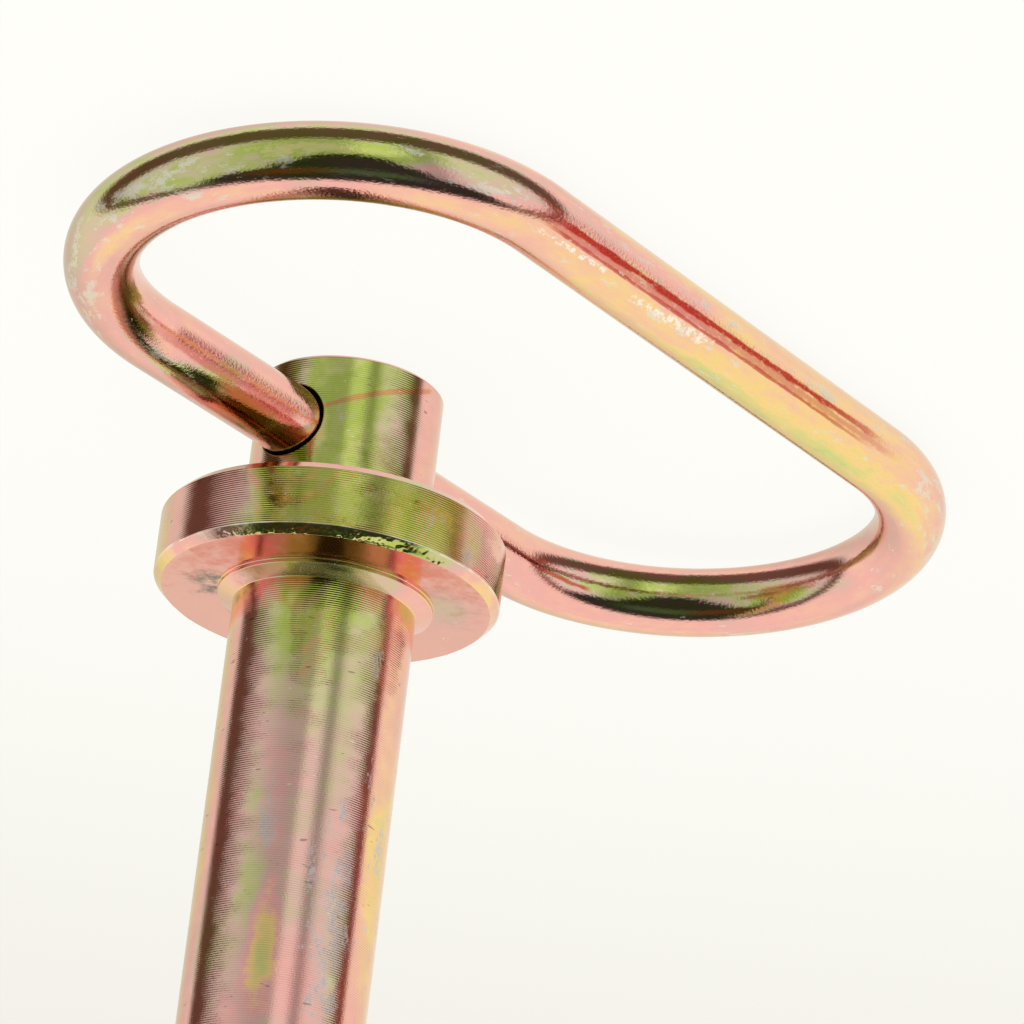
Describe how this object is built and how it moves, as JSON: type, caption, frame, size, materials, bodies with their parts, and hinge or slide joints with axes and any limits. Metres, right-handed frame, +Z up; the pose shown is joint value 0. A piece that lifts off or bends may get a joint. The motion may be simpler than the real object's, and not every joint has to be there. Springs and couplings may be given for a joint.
{
  "type": "trailer hitch pin",
  "caption": "Round steel coupling pin with a stop collar, a cross-drilled head and a loop handle that swings in it, in yellow zinc.",
  "frame": {"origin": "centre of the flat end of the head, which the pin stands on", "axes": "+Z up along the pin from the head to the tip, X along the hole that the handle swings in, +Y towards the handle's grip at rest"},
  "size_m": [0.1146, 0.0692, 0.1536],
  "materials": {
    "turned_zinc": "turned steel with fine tool lines, yellow passivated zinc with green and pink film colours",
    "bar_zinc": "smooth drawn bar, yellow passivated zinc with green and pink film colours and small scuffs"
  },
  "bodies": {
    "pin": {"pin": "turned_zinc"},
    "handle": {"handle": "bar_zinc"}
  },
  "joints": [
    {"name": "handle_swing", "type": "hinge", "parent": "pin", "child": "handle", "pos_m": [0, 0, 0.0071], "axis": [1, 0, 0], "range_deg": [-249, 77]}
  ]
}
